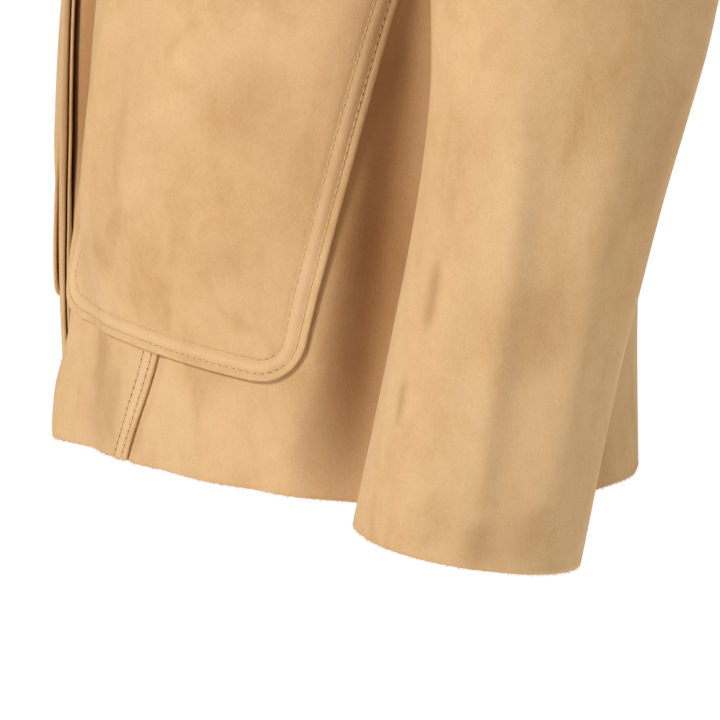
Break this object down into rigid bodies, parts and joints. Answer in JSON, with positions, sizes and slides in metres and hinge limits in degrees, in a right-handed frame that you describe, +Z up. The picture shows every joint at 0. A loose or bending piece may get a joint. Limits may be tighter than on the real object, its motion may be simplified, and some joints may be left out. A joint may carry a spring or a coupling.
{
  "type": "suede jacket",
  "caption": "Worn short suede jacket with raw edges, lapped panel seams, patch pockets and a buttoned front; neck, hem and cuffs are open.",
  "frame": {"origin": "middle of the neck opening, level with the tops of the shoulder seams", "axes": "+Z up, +X toward the wearer's left, -Y the front"},
  "size_m": [0.6052, 0.2886, 0.6552],
  "materials": {
    "suede": "napped suede, matte",
    "horn": "satin brown"
  },
  "bodies": {
    "root": {"front_left_centre": "suede", "front_left_side": "suede", "front_right_centre": "suede", "front_right_side": "suede", "back": "suede", "facing_left": "suede", "facing_right": "suede", "pocket_left": "suede", "pocket_right": "suede", "sleeve_left_top": "suede", "sleeve_left_under": "suede", "sleeve_right_top": "suede", "sleeve_right_under": "suede", "button_1": "horn", "button_2": "horn", "button_3": "horn", "button_4": "horn"}
  },
  "joints": []
}
